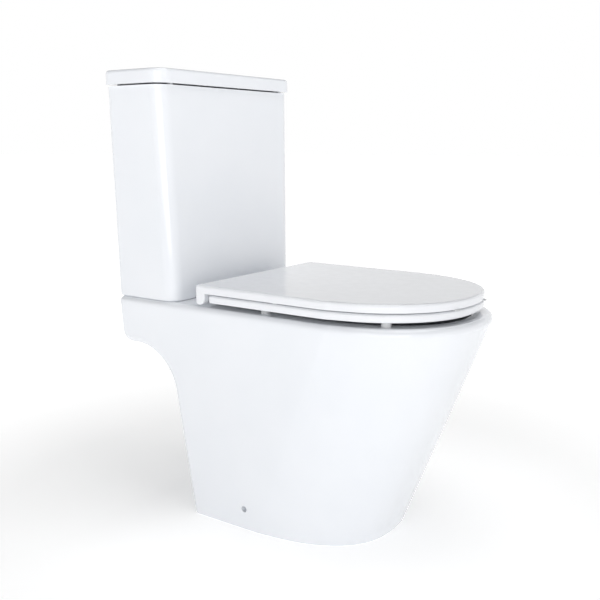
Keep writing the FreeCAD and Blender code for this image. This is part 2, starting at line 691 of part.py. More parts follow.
def water_way(grow):
    """The way from the tank's outlet to the bowl, or the outside of its wall when it is grown."""
    top = size("deck_height") - size("deck_thickness")
    rear = size("flush_back") - size("tank_outlet_radius") - size("flush_duct_margin")
    front = size("bowl_rear_back") + 2 * size("china_wall")
    return block(size("flush_duct_width") + 2 * grow, rear - grow, front,
                 top - size("flush_duct_height") - grow, top)


def deck_holes():
    """What is drilled through the deck and through the sides of the foot."""
    deck = size("deck_height")
    low, high = deck - size("deck_thickness") - 1, deck + 1
    holes = [
        upright(size("tank_outlet_radius"), low, high, 0, size("flush_back")),
        upright(size("deck_inlet_radius"), low, high, size("fill_across"), size("flush_back")),
    ]
    wall = size("china_wall")
    for side in (-1, 1):
        x = side * size("coupling_bolt_spacing") / 2
        holes.append(upright(size("coupling_hole_radius"), low, high, x, size("flush_back")))
        x = side * size("hinge_spacing") / 2
        holes.append(upright(size("seat_hole_radius"), low, high, x, size("hinge_back")))
        start = Vector(side * (size("base_width") / 2 + wall), y_at(size("fixing_hole_back")),
                       size("fixing_hole_height"))
        holes.append(Part.makeCylinder(size("fixing_hole_radius"), 3 * wall, start, Vector(-side, 0, 0)))
    return holes


def make_pan():
    """The pan's casting as three shapes that meet face to face: outer shell, bowl and trap."""
    deck = size("deck_height")
    wall = size("china_wall")
    outside = pan_outside()
    inner_rear = size("pan_rear_back") + wall
    under_deck = deck - size("deck_thickness")
    hollow = Part.makeLoft([pan_section(z, wall, inner_rear) for z in (-1, under_deck)], True, True)
    bowl_zone = bowl(wall).common(outside)
    way = water_way(0)

    spigot_end = size("outlet_end_back")
    spigot_start = spigot_end + size("outlet_length")
    outlet = size("outlet_height")
    spigot = along_y(size("outlet_radius"), spigot_end, spigot_start, 0, outlet)
    spigot_bore = along_y(size("outlet_bore_radius"), spigot_end - 1, spigot_start - wall, 0, outlet)
    trap_radius = size("trap_bore") / 2
    passage = trap(trap_radius + size("trap_wall"), size("sump_back") - wall)
    trap_way = trap(trap_radius, size("sump_back"))

    duct = water_way(size("flush_duct_wall"))
    shell = outside.cut(hollow).fuse(duct).cut([bowl_zone, way] + deck_holes())
    trap_shape = passage.fuse(spigot).cut([bowl_zone, trap_way, spigot_bore])
    bowl_shape = bowl_zone.cut([bowl(0), way, trap_way])
    reach = size("bowl_mouth_width") / 2 + 1
    mouth = [edge for edge in edges_where(
        bowl_shape, lambda p: abs(p.z - deck) < NEAR and abs(p.x) < reach) if edge.Length > reach]
    return shell, bowl_shape.makeFillet(size("bowl_mouth_radius"), mouth), trap_shape


def make_cistern():
    deck = size("deck_height")
    top = deck + size("cistern_height")
    wall = size("cistern_wall")
    front, rear = size("cistern_front_radius"), size("cistern_rear_radius")
    outside = loft([
        rounded_rectangle(deck, size("cistern_base_width"), size("cistern_base_depth"), front, rear),
        rounded_rectangle(top, size("cistern_top_width"), size("cistern_top_depth"), front, rear),
    ])
    foot = edges_where(outside, lambda p: abs(p.z - deck) < NEAR)
    outside = outside.makeFillet(size("cistern_edge_radius"), foot)

    floor = deck + size("cistern_floor")
    share = size("cistern_floor") / size("cistern_height")
    wires = []
    for z, part in ((floor, share), (top + 1, 1 + 1 / size("cistern_height"))):
        width = size("cistern_base_width") + (size("cistern_top_width") - size("cistern_base_width")) * part
        depth = size("cistern_base_depth") + (size("cistern_top_depth") - size("cistern_base_depth")) * part
        wire = rounded_rectangle(z, width - 2 * wall, depth - 2 * wall, front - wall, rear - wall)
        wire.translate(Vector(0, -wall, 0))
        wires.append(wire)
    inside = loft(wires)

    centre = size("flush_back")
    half = size("coupling_recess_depth") / 2
    recess_top = deck + size("coupling_recess_height")
    plinth_top = recess_top + size("cistern_floor")
    plinth_width = size("coupling_recess_width") + 2 * size("plinth_wall")
    plinth = block(plinth_width, 0, size("cistern_base_depth"), deck, plinth_top)
    inside = inside.cut(plinth)
    tank = outside.cut(inside)

    voids = [block(size("coupling_recess_width"), centre - half, centre + half, deck - 1, recess_top)]
    voids.append(upright(size("tank_outlet_radius"), recess_top - 1, plinth_top + 1, 0, centre))
    inlet_hole = size("inlet_radius") + size("inlet_hole_gap")
    voids.append(upright(inlet_hole, deck - 1, floor + 1, size("fill_across"), centre))
    for side in (-1, 1):
        x = side * size("coupling_bolt_spacing") / 2
        voids.append(upright(size("coupling_hole_radius"), recess_top - 1, plinth_top + 1, x, centre))
        x = side * size("wall_screw_spacing") / 2
        voids.append(along_y(size("wall_screw_radius"), -1, wall + 1, x, size("wall_screw_height")))
    return tank.cut(voids)


def make_seat_ring():
    bottom = size("deck_height") + size("seat_gap")
    top = bottom + size("seat_thickness")
    half = size("seat_width") / 2
    outline = tongue(bottom, size("seat_rear_back"), size("seat_front_back"), half,
                     size("seat_nose"), size("seat_nose_power"), size("seat_corner_radius"))
    opening = egg(bottom, size("seat_hole_rear_back"), size("seat_hole_front_back"),
                  size("seat_front_back") - size("seat_nose"), size("seat_hole_width") / 2)
    rise = Vector(0, 0, size("seat_thickness"))
    ring = prism(outline, rise).cut(prism(opening, rise))
    rims = edges_where(ring, lambda p: abs(p.z - top) < NEAR or abs(p.z - bottom) < NEAR)
    ring = ring.makeFillet(size("seat_edge_radius"), rims)

    # knuckles that reach back round the hinge pins
    radius = size("hinge_knuckle_radius")
    axis_z = size("hinge_height")
    width = size("seat_knuckle_width")
    for side in (-1, 1):
        x = side * seat_knuckle_middle() - width / 2
        start = Vector(x, y_at(size("hinge_back")), axis_z)
        barrel = Part.makeCylinder(radius, width, start, Vector(1, 0, 0))
        reach = size("seat_rear_back") + size("seat_corner_radius") - size("hinge_back")
        arm_bottom = bottom + size("seat_knuckle_step")
        arm_top = min(axis_z + radius, top) - size("seat_knuckle_drop")
        arm = Part.makeBox(width, reach, arm_top - arm_bottom,
                           Vector(x, y_at(size("hinge_back") + reach), arm_bottom))
        ring = ring.fuse([barrel, arm])
    return ring.cut(hinge_bore(size("hinge_pin_radius") + size("running_gap")))


def seat_knuckle_middle():
    """Middle of the object to the middle of a seat knuckle."""
    post = (size("hinge_spacing") - size("hinge_post_width")) / 2
    return post - size("hinge_side_gap") - size("seat_knuckle_width") / 2


def hinge_bore(radius):
    """A bar on the hinge axis, right across."""
    span = size("seat_width") * 2
    start = Vector(-span / 2, y_at(size("hinge_back")), size("hinge_height"))
    return Part.makeCylinder(radius, span, start, Vector(1, 0, 0))


def make_seat_lid():
    bottom = size("deck_height") + size("seat_gap") + size("seat_thickness") + size("seat_lid_gap")
    top = bottom + size("seat_lid_thickness")
    half = size("seat_width") / 2
    outline = tongue(bottom, size("seat_lid_rear_back"), size("seat_front_back"), half,
                     size("seat_nose"), size("seat_nose_power"), size("seat_corner_radius"))
    slab = prism(outline, Vector(0, 0, size("seat_lid_thickness")))

    # the rolled cover: a rail round the hinge axis, cut away at posts and seat knuckles
    radius = size("hinge_cover_radius")
    axis = Vector(-half, y_at(size("hinge_back")), size("hinge_height"))
    roll = Part.makeCylinder(radius, 2 * half, axis, Vector(1, 0, 0))
    neck = Part.makeBox(2 * half, 2 * radius, bottom + 1 - axis.z, Vector(-half, axis.y - radius, axis.z))
    rail = roll.fuse(neck).common(
        prism(tongue(axis.z - 2 * radius, size("seat_lid_rear_back"), size("seat_front_back"), half,
                     size("seat_nose"), size("seat_nose_power"), size("seat_corner_radius")),
              Vector(0, 0, 6 * radius)))
    inner = seat_knuckle_middle() - size("seat_knuckle_width") / 2 - size("hinge_side_gap")
    outer = (size("hinge_spacing") + size("hinge_post_width")) / 2 + size("hinge_side_gap")
    for side in (-1, 1):
        x = inner if side > 0 else -outer
        rail = rail.cut(Part.makeBox(outer - inner, 4 * radius, 3 * radius,
                                     Vector(x, axis.y - 2 * radius, bottom - 3 * radius)))
    lid = slab.fuse(rail).removeSplitter()

    rims = edges_where(lid, lambda p: abs(p.z - top) < NEAR)
    lid = lid.makeFillet(size("seat_lid_edge_radius"), rims)

    border = size("seat_lid_border")
    panel = tongue(bottom, size("seat_rear_back") + border, size("seat_front_back") - border, half - border,
                   size("seat_nose") - border, size("seat_nose_power"), size("seat_corner_radius"))
    lid = lid.cut(prism(panel, Vector(0, 0, size("seat_lid_recess"))))

    bore_start = outer
    for side in (-1, 1):
        start = Vector(side * (bore_start - 1), axis.y, axis.z)
        bore = Part.makeCylinder(size("damper_radius") + size("running_gap"),
                                 size("damper_length") + 1 + size("body_gap"), start, Vector(side, 0, 0))
        lid = lid.cut(bore)
    return lid


# ---------------------------------------------------------------- china

pan_shell, pan_bowl, pan_trap = make_pan()
node("pan", feature("Pan", pan_shell))
node("pan_bowl", feature("PanBowl", pan_bowl))
node("pan_trap", feature("PanTrap", pan_trap))
node("cistern", feature("Cistern", make_cistern()))

flush_y = from_wall("flush_back")
recess_top = "deck_height + coupling_recess_height"
plinth_top = "deck_height + coupling_recess_height + cistern_floor"
under_deck = "deck_height - deck_thickness"


# ---------------------------------------------------------------- close coupling set

def wing_nut(name, x, y, z):
    """A hub with two wings, on a stud."""
    hub = cylinder(name + "_hub", "wing_nut_radius", "wing_nut_height", x, y, z)
    wings_bottom = f"{z} + wing_nut_height - wing_height"
    wings = box(name + "_wings", "wing_span", "wing_thickness", "wing_height", x, y, wings_bottom)
    bore = cylinder(name + "_bore", "stud_radius + running_gap", "wing_nut_height * 3",
                    x, y, f"{z} - wing_nut_height")
    gap = box(name + "_gap", "wing_nut_radius * 2", "wing_gap", "wing_nut_height",
              x, y, f"{z} - wing_nut_height")
    return cut(name, fuse(name + "_whole", hub, wings), bore, gap)


bolt_x = "coupling_bolt_spacing / 2"
node("coupling_plate", cut(
    "CouplingPlate",
    box("PlateBlank", "coupling_recess_width - 2 * plate_margin",
        "coupling_recess_depth - 2 * plate_margin", "plate_thickness",
        "0", flush_y, recess_top + " - plate_thickness"),
    cylinder("PlateMiddle", "tail_radius + body_gap", "plate_thickness * 3",
             "0", flush_y, recess_top + " - plate_thickness * 2"),
    cylinder("PlateHoleRight", "stud_radius + body_gap", "plate_thickness * 3",
             bolt_x, flush_y, recess_top + " - plate_thickness * 2"),
    cylinder("PlateHoleLeft", "stud_radius + body_gap", "plate_thickness * 3",
             "-" + bolt_x, flush_y, recess_top + " - plate_thickness * 2"),
))

doughnut_radius = "valve_flange_radius + doughnut_rim"
nut_height = "coupling_recess_height - plate_thickness - doughnut_floor"
node("coupling_doughnut", revolved("CouplingDoughnut", [
    ("tank_outlet_radius", "0"),
    (doughnut_radius, "0"),
    (doughnut_radius, "coupling_recess_height - plate_thickness"),
    ("valve_flange_radius", "coupling_recess_height - plate_thickness"),
    ("valve_flange_radius", "doughnut_floor"),
    ("tank_outlet_radius", "doughnut_floor"),
], "0", flush_y, "deck_height"))

stud_end = under_deck + " - steel_washer_height - wing_nut_height - stud_tail"
bolt_bearing = plinth_top + " + rubber_washer_height"
bolt_reach = f"{bolt_bearing} - ({stud_end})"
node("coupling_bolts", pair("CouplingBolts", revolved("CouplingBolt", [
    ("0", "0"),
    ("stud_radius", "0"),
    ("stud_radius", bolt_reach),
    ("bolt_head_radius", bolt_reach),
    ("bolt_head_radius", bolt_reach + " + bolt_head_height"),
    ("0", bolt_reach + " + bolt_head_height"),
], bolt_x, flush_y, stud_end)))

node("coupling_rubber_washers", pair("CouplingRubberWashers", tube(
    "CouplingRubberWasher", "washer_radius", "stud_radius + running_gap", "rubber_washer_height",
    bolt_x, flush_y, plinth_top)))
node("coupling_steel_washers", pair("CouplingSteelWashers", tube(
    "CouplingSteelWasher", "washer_radius", "stud_radius + body_gap", "steel_washer_height",
    bolt_x, flush_y, under_deck + " - steel_washer_height")))
node("coupling_wing_nuts", pair("CouplingWingNuts", wing_nut(
    "CouplingWingNut", bolt_x, flush_y, under_deck + " - steel_washer_height - wing_nut_height")))


# ---------------------------------------------------------------- flush valve

node("flush_valve_seal", tube(
    "FlushValveSeal", "valve_flange_radius", "tail_radius + body_gap", "rubber_washer_height",
    "0", flush_y, plinth_top))

valve_base = plinth_top + " + rubber_washer_height"
tail_end = "deck_height + tail_stop"
tail_length = f"{valve_base} - ({tail_end})"
flange_top = tail_length + " + valve_flange_height"
cage_end = flange_top + " + cage_height"
valve_shell = revolved("ValveShell", [
    ("tail_bore_radius", "0"),
    ("tail_radius", "0"),
    ("tail_radius", tail_length),
    ("valve_flange_radius", tail_length),
    ("valve_flange_radius", flange_top),
    ("cage_radius", flange_top),
    ("cage_radius", cage_end),
    ("core_radius + core_guide_gap", cage_end),
    ("core_radius + core_guide_gap", cage_end + " - cage_top"),
    ("cage_radius - cage_wall", cage_end + " - cage_top"),
    ("cage_radius - cage_wall", flange_top),
    ("tail_bore_radius + cage_wall", flange_top),
    ("tail_bore_radius + cage_wall", flange_top + " + valve_seat_height"),
    ("tail_bore_radius", flange_top + " + valve_seat_height"),
], "0", flush_y, tail_end)
cage_top = f"{valve_base} + valve_flange_height + cage_height"
pillar_length = f"valve_head_bottom - ({cage_top})"
pillars = [cylinder("Pillar" + word, "pillar_radius", pillar_length, sign + "pillar_spacing / 2",
                    flush_y, cage_top) for word, sign in (("Right", ""), ("Left", "-"))]
valve_head = cylinder("ValveHead", "valve_head_radius", "valve_head_height",
                      "0", flush_y, "valve_head_bottom")
head_top = "valve_head_bottom + valve_head_height"
rod_places = {"full": "-full_rod_across", "half": "half_rod_across"}
wells = [cylinder(word + "_well", "plunger_radius + body_gap", "plunger_well + 1", across,
                  flush_y, head_top + " - plunger_well") for word, across in rod_places.items()]
window_bottom = f"{valve_base} + valve_flange_height + valve_seat_height + window_rise"
windows = [
    box("WindowAcross", "cage_radius * 3", "window_width", "window_height", "0", flush_y, window_bottom),
    box("WindowDeep", "window_width", "cage_radius * 3", "window_height", "0", flush_y, window_bottom),
]
node("flush_valve_body", cut(
    "FlushValveBody", fuse("FlushValveWhole", valve_shell, valve_head, *pillars), *wells, *windows))

node("flush_valve_nut", cut(
    "FlushValveNut",
    hexagon("FlushNutBlank", "valve_flange_radius - 2 * body_gap", nut_height, "0", flush_y,
            "deck_height + doughnut_floor"),
    cylinder("FlushNutBore", "tail_radius + running_gap", nut_height, "0", flush_y,
             "deck_height + doughnut_floor")))

seal_bottom = f"{valve_base} + valve_flange_height + valve_seat_height + body_gap"
node("flush_seal", tube(
    "FlushSeal", "core_flange_radius + body_gap", "core_radius - core_wall", "seal_height",
    "0", flush_y, seal_bottom))
node("flush_core", revolved("FlushCore", [
    ("core_radius - core_wall", "0"),
    ("core_flange_radius", "0"),
    ("core_flange_radius", "core_flange_height"),
    ("core_radius", "core_flange_height"),
    ("core_radius", "core_height"),
    ("core_radius - core_wall", "core_height"),
], "0", flush_y, seal_bottom + " + seal_height"))

for word, across in rod_places.items():
    node(word + "_flush_plunger", revolved(word + "_plunger", [
        ("0", "0"),
        ("plunger_radius", "0"),
        ("plunger_radius", "plunger_depth + plunger_rise"),
        ("plunger_cap_radius", "plunger_depth + plunger_rise"),
        ("plunger_cap_radius", "plunger_depth + plunger_rise + plunger_cap_height"),
        ("0", "plunger_depth + plunger_rise + plunger_cap_height"),
    ], across, flush_y, head_top + " - plunger_depth"))


# ---------------------------------------------------------------- fill valve

tank_floor = "deck_height + cistern_floor"
fill_base = tank_floor + " + rubber_washer_height"
tail_to_flange = f"{fill_base} - inlet_bottom"
relief_bottom = "deck_height - fill_nut_height - inlet_relief_width - inlet_bottom"
node("fill_valve_body", revolved("FillValveBody", [
    ("inlet_bore_radius", "0"),
    ("inlet_radius", "0"),
    ("inlet_radius", relief_bottom),
    ("inlet_radius - inlet_relief_depth", relief_bottom),
    ("inlet_radius - inlet_relief_depth", relief_bottom + " + inlet_relief_width"),
    ("inlet_radius", relief_bottom + " + inlet_relief_width"),
    ("inlet_radius", tail_to_flange),
    ("fill_flange_radius", tail_to_flange),
    ("fill_flange_radius", tail_to_flange + " + fill_flange_height"),
    ("fill_riser_radius", tail_to_flange + " + fill_flange_height"),
    ("fill_riser_radius", "fill_head_bottom - inlet_bottom"),
    ("inlet_bore_radius", "fill_head_bottom - inlet_bottom"),
], "fill_across", flush_y, "inlet_bottom"))
node("fill_valve_seal", tube(
    "FillValveSeal", "fill_flange_radius", "inlet_radius + running_gap", "rubber_washer_height",
    "fill_across", flush_y, tank_floor))
node("fill_valve_nut", cut(
    "FillValveNut",
    hexagon("FillNutBlank", "fill_nut_radius", "fill_nut_height",
            "fill_across", flush_y, "deck_height - fill_nut_height"),
    cylinder("FillNutBore", "inlet_radius + running_gap", "fill_nut_height",
             "fill_across", flush_y, "deck_height - fill_nut_height")))
node("inlet_strainer", tube(
    "InletStrainer", "inlet_bore_radius - running_gap", "inlet_bore_radius - strainer_wall",
    "strainer_length", "fill_across", flush_y, "inlet_bottom"))

hinge_x = "fill_across - float_hinge_reach"
lug_depth = "float_arm_width + 2 * body_gap + 2 * float_lug"
lug_reach = "float_hinge_reach + float_lug_nose"
fill_head = fuse(
    "FillHeadWhole",
    cylinder("FillHeadDrum", "fill_head_radius", "fill_head_height", "fill_across", flush_y,
             "fill_head_bottom"),
    box("FillLugs", lug_reach, lug_depth, "float_lug_height", f"fill_across - ({lug_reach}) / 2",
        flush_y, "float_hinge_height - float_lug_height / 2"))
node("fill_valve_head", cut(
    "FillValveHead", fill_head,
    box("FillLugGap", f"2 * ({lug_reach} - float_hinge_reach + float_slot_reach)",
        "float_arm_width + 2 * body_gap", "float_lug_height * 2",
        f"{hinge_x} - ({lug_reach} - float_hinge_reach)", flush_y,
        "float_hinge_height - float_lug_height"),
    cylinder("FillLugBore", "float_hinge_radius + running_gap", f"2 * ({lug_depth})",
             hinge_x, f"{flush_y} - ({lug_depth})", "float_hinge_height", along="Y")))
node("float_arm_pin", cylinder(
    "FloatArmPin", "float_hinge_radius", lug_depth, hinge_x, f"{flush_y} - ({lug_depth}) / 2",
    "float_hinge_height", along="Y"))

float_x = hinge_x + " - float_arm_reach"
arm_length = "float_arm_end + float_arm_reach + float_arm_nose"
float_arm = cut(
    "FloatArmBored",
    box("FloatArmBar", arm_length, "float_arm_width", "float_arm_height",
        f"{hinge_x} + float_arm_end - ({arm_length}) / 2", flush_y,
        "float_hinge_height - float_arm_height / 2"),
    cylinder("FloatArmHole", "float_hinge_radius + running_gap", "float_arm_width * 2", hinge_x,
             flush_y + " - float_arm_width", "float_hinge_height", along="Y"),
    cylinder("FloatArmSocket", "float_screw_radius", "float_arm_height * 2", float_x, flush_y,
             "float_hinge_height - float_arm_height"))
node("float_arm", float_arm)
node("float_adjuster", fuse(
    "FloatAdjuster",
    cylinder("AdjusterRod", "float_rod_radius", "float_drop - float_arm_height / 2", float_x, flush_y,
             "float_hinge_height - float_drop"),
    cylinder("AdjusterScrew", "float_screw_radius - running_gap", "float_arm_height + float_screw_rise",
             float_x, flush_y, "float_hinge_height - float_arm_height / 2")))
node("float_cup", revolved("FloatCup", [
    ("0", "float_height - float_wall"),
    ("0", "float_height"),
    ("float_radius", "float_height"),
    ("float_radius", "0"),
    ("float_radius - float_wall", "0"),
    ("float_radius - float_wall", "float_height - float_wall"),
], float_x, flush_y, "float_hinge_height - float_drop - float_height"))


# ---------------------------------------------------------------- cistern lid and push buttons

lid_bottom = "deck_height + cistern_height + lid_gap"
lid_top = lid_bottom + " + lid_thickness"
lid_y = from_wall("lid_depth / 2")
lid_blank = box("LidBlank", "lid_width", "lid_depth", "lid_thickness", "0", lid_y, lid_bottom)
doc.recompute()


def fillet(name, base, radius, test):
    """Rounds the edges of a finished object that pass the test."""
    rounded = doc.addObject("Part::Fillet", name)
    rounded.Base = base
    chosen = edges_where(base.Shape, test)
    rounded.Edges = [(i, radius, radius) for i, edge in enumerate(base.Shape.Edges, start=1)
                     if any(edge.isSame(other) for other in chosen)]
    return rounded


lid_box = lid_blank.Shape.BoundBox
lid_corners = fillet("LidCorners", lid_blank, size("lid_front_radius"),
                     lambda p: abs(abs(p.x) - lid_box.XMax) < NEAR and abs(p.y - lid_box.YMin) < NEAR)
doc.recompute()
lid_rear_corners = fillet("LidRearCorners", lid_corners, size("cistern_rear_radius"),
                          lambda p: abs(abs(p.x) - lid_box.XMax) < NEAR and abs(p.y - lid_box.YMax) < NEAR)
doc.recompute()
lid_rounded = fillet("LidRounded", lid_rear_corners, size("lid_edge_radius"),
                     lambda p: abs(p.z - lid_box.ZMax) < NEAR)
node("cistern_lid", cut(
    "CisternLid", lid_rounded,
    box("LidHollow", "lid_width - 2 * lid_border", "lid_depth - 2 * lid_border",
        "lid_thickness - lid_plate", "0", lid_y, lid_bottom),
    cylinder("LidHole", "button_hole_radius", "lid_thickness * 3", "0", flush_y, lid_bottom)))

pad_x = "cistern_top_width / 2 - cistern_front_radius - lid_pad_size"
pad_backs = {"Front": "cistern_top_depth - cistern_wall / 2", "Rear": "cistern_wall / 2"}
pads = [pair("Pads" + word, box("Pad" + word, "lid_pad_size", "lid_pad_size", "lid_gap", pad_x,
                                from_wall(back), lid_bottom + " - lid_gap"))
        for word, back in pad_backs.items()]
pad_group = doc.addObject("Part::Compound", "LidPads")
pad_group.Links = pads
node("lid_pads", pad_group)

sleeve_bottom = lid_top + " - sleeve_length"
bezel_shape = revolved("BezelTurned", [
    ("0", "0"),
    ("sleeve_radius", "0"),
    ("sleeve_radius", "sleeve_length"),
    ("bezel_radius", "sleeve_length"),
    ("bezel_radius - bezel_bevel", "sleeve_length + bezel_height"),
    ("sleeve_bore_radius", "sleeve_length + bezel_height"),
    ("sleeve_bore_radius", "sleeve_floor"),
    ("0", "sleeve_floor"),
], "0", flush_y, sleeve_bottom)
rod_holes = [cylinder(word + "_rod_hole", "rod_radius + body_gap", "sleeve_floor * 3", across, flush_y,
                      sleeve_bottom + " - sleeve_floor") for word, across in rod_places.items()]
node("button_bezel", cut("ButtonBezel", bezel_shape, *rod_holes))
node("button_nut", cut(
    "ButtonNut",
    hexagon("ButtonNutBlank", "sleeve_nut_radius", "sleeve_nut_height", "0", flush_y,
            lid_top + " - lid_plate - sleeve_nut_height"),
    cylinder("ButtonNutBore", "sleeve_radius + running_gap", "sleeve_nut_height", "0", flush_y,
             lid_top + " - lid_plate - sleeve_nut_height")))

button_bottom = lid_top + " + bezel_height - button_sink - button_height"
split_gap = "button_gap / 2"
rod_bottom = head_top + " + plunger_rise + plunger_cap_height + body_gap"
# the middle of the box that keeps each button's side of the split
side_middles = {
    "full": "button_split - " + split_gap + " - 2 * button_radius",
    "half": "button_split + " + split_gap + " + 2 * button_radius",
}
for word, across in rod_places.items():
    disc = cylinder(word + "_disc", "button_radius", "button_height", "0", flush_y, button_bottom)
    keep = box(word + "_side", "4 * button_radius", "4 * button_radius", "button_height",
               side_middles[word], flush_y, button_bottom)
    button = doc.addObject("Part::Common", word + "_button_blank")
    button.Base = disc
    button.Tool = keep
    doc.recompute()
    top = button.Shape.BoundBox.ZMax
    node(word + "_flush_button", fillet(word + "_button", button, size("button_edge_radius"),
                                        lambda p, top=top: abs(p.z - top) < NEAR))
    node(word + "_push_rod", cylinder(word + "_rod", "rod_radius", f"{button_bottom} - ({rod_bottom})",
                                      across, flush_y, rod_bottom))
    coil = doc.addObject("Part::Helix", word + "_coil")
    spring_bottom = f"{sleeve_bottom} + sleeve_floor + spring_wire_radius"
    spring_length = f"{button_bottom} - spring_wire_radius - ({spring_bottom})"
    bind(coil, Radius="spring_radius", Height=spring_length, Pitch=f"({spring_length}) / spring_turns")
    wire = doc.addObject("Part::Circle", word + "_wire")
    wire.Placement = Placement(Vector(size("spring_radius"), 0, 0), TURN["Y"])
    bind(wire, Radius="spring_wire_radius")
    bind(wire, **{"Placement.Base.x": "spring_radius"})
    spring = doc.addObject("Part::Sweep", word + "_sweep")
    spring.Sections = [wire]
    spring.Spine = (coil, ["Edge1"])
    spring.Solid = True
    spring.Frenet = True
    put(spring, across, flush_y, spring_bottom)
    node(word + "_button_spring", spring)


# ---------------------------------------------------------------- seat and its hinge

node("seat_ring", feature("SeatRing", make_seat_ring()))
node("seat_lid", feature("SeatLid", make_seat_lid()))

hinge_y = from_wall("hinge_back")
post_x = "hinge_spacing / 2"
post_left = "(hinge_spacing - hinge_post_width) / 2"
post = cut(
    "HingePost",
    fuse("HingePostWhole",
         cylinder("HingeFoot", "hinge_flange_radius", "hinge_flange_height", post_x, hinge_y,
                  "deck_height"),
         box("HingeStem", "hinge_post_width", "hinge_stem_depth", "hinge_height - deck_height",
             post_x, hinge_y, "deck_height"),
         cylinder("HingeBarrel", "hinge_knuckle_radius", "hinge_post_width", post_left, hinge_y,
                  "hinge_height", along="X")),
    cylinder("HingePostBore", "hinge_pin_radius + running_gap", "hinge_post_width", post_left, hinge_y,
             "hinge_height", along="X"))
node("hinge_posts", pair("HingePosts", post))

pin_start = f"{post_left} - hinge_side_gap - seat_knuckle_width"
pin_length = "seat_knuckle_width + hinge_side_gap + hinge_post_width / 2"
node("hinge_pins", pair("HingePins", cylinder(
    "HingePin", "hinge_pin_radius", pin_length, pin_start, hinge_y, "hinge_height", along="X")))

damper_start = "(hinge_spacing + hinge_post_width) / 2 + hinge_side_gap"
damper = fuse(
    "SoftCloseDamper",
    cylinder("DamperDrum", "damper_radius", "damper_length", damper_start, hinge_y, "hinge_height",
             along="X"),
    cylinder("DamperShaft", "hinge_pin_radius", "hinge_side_gap + hinge_post_width / 2",
             post_x, hinge_y, "hinge_height", along="X"))
node("soft_close_dampers", pair("SoftCloseDampers", damper))

seat_stud_end = under_deck + " - rubber_washer_height - wing_nut_height - stud_tail"
node("seat_studs", pair("SeatStuds", cylinder(
    "SeatStud", "stud_radius", f"deck_height - ({seat_stud_end})", post_x, hinge_y, seat_stud_end)))
node("seat_rubber_washers", pair("SeatRubberWashers", tube(
    "SeatRubberWasher", "washer_radius", "stud_radius + running_gap", "rubber_washer_height",
    post_x, hinge_y, under_deck + " - rubber_washer_height")))
node("seat_wing_nuts", pair("SeatWingNuts", wing_nut(
    "SeatWingNut", post_x, hinge_y, under_deck + " - rubber_washer_height - wing_nut_height")))


def buffers(name, label, radius, height, bottom, places):
    """Round pads in mirrored pairs, at (across, back) places."""
    group = doc.addObject("Part::Compound", name)
    group.Links = [
        pair(f"{name}{i}", cylinder(f"{name}Pad{i}", radius, height, across, from_wall(back), bottom))
        for i, (across, back) in enumerate(places)]
    node(label, group)


buffers("SeatBuffers", "seat_buffers", "seat_buffer_radius", "seat_gap", "deck_height", (
    ("seat_width / 2 - seat_buffer_rear_inset", "seat_hole_rear_back + seat_buffer_rear_place"),
    ("seat_width / 2 - seat_buffer_front_inset", "seat_front_back - seat_buffer_front_place"),
))
buffers("LidBuffers", "lid_buffers", "lid_buffer_radius", "seat_lid_gap",
        "deck_height + seat_gap + seat_thickness", (
            ("seat_width / 2 - lid_buffer_side_inset", "seat_hole_rear_back + lid_buffer_side_place"),
            ("lid_buffer_front_across", "seat_front_back - seat_lid_border / 2"),
        ))

# ---------------------------------------------------------------- check and export

doc.recompute()
for thing in doc.Objects:
    if "Invalid" in thing.State or "Error" in thing.State:
        raise RuntimeError(f"{thing.Name} ({thing.Label}) failed: {thing.State}")
for label, thing in nodes.items():
    if thing.Shape.isNull() or not thing.Shape.isValid() or not thing.Shape.Solids:
        raise RuntimeError(f"{label} has no sound shape")

os.makedirs("parts", exist_ok=True)
for label, thing in nodes.items():
    thing.Shape.exportStep(f"parts/{label}.step")
    print(f"{label:26s} solids {len(thing.Shape.Solids):2d}  volume {thing.Shape.Volume / 1000:9.1f} cm3")
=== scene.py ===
import json
import math

import bpy
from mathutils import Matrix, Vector


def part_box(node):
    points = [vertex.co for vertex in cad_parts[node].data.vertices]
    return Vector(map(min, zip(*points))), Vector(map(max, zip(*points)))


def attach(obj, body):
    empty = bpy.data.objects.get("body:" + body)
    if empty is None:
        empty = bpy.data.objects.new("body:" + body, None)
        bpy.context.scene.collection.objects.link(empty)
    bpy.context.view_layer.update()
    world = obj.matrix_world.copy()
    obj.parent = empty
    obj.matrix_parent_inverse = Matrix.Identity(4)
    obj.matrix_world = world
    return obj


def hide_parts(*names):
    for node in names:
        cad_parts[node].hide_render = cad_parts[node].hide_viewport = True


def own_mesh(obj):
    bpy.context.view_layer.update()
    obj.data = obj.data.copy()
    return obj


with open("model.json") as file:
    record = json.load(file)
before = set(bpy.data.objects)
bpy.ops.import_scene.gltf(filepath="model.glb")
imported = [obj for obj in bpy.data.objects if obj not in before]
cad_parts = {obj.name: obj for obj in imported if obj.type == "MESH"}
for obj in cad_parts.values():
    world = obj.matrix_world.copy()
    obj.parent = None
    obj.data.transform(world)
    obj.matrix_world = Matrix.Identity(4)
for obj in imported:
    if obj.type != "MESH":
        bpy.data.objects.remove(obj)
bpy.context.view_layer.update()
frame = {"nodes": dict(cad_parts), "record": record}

# Close coupled toilet. Metres, +Z up, the user in front on -Y and the wall on +Y.

# ---------------------------------------------------------------- sizes

# camera
CAMERA_PLACE = Vector((-1.2278, -0.8253, 0.6766))
CAMERA_BACK = Vector((-0.8052, -0.5633, 0.1851))
CAMERA_LENS = 50.24
CAMERA_SENSOR = 36.0

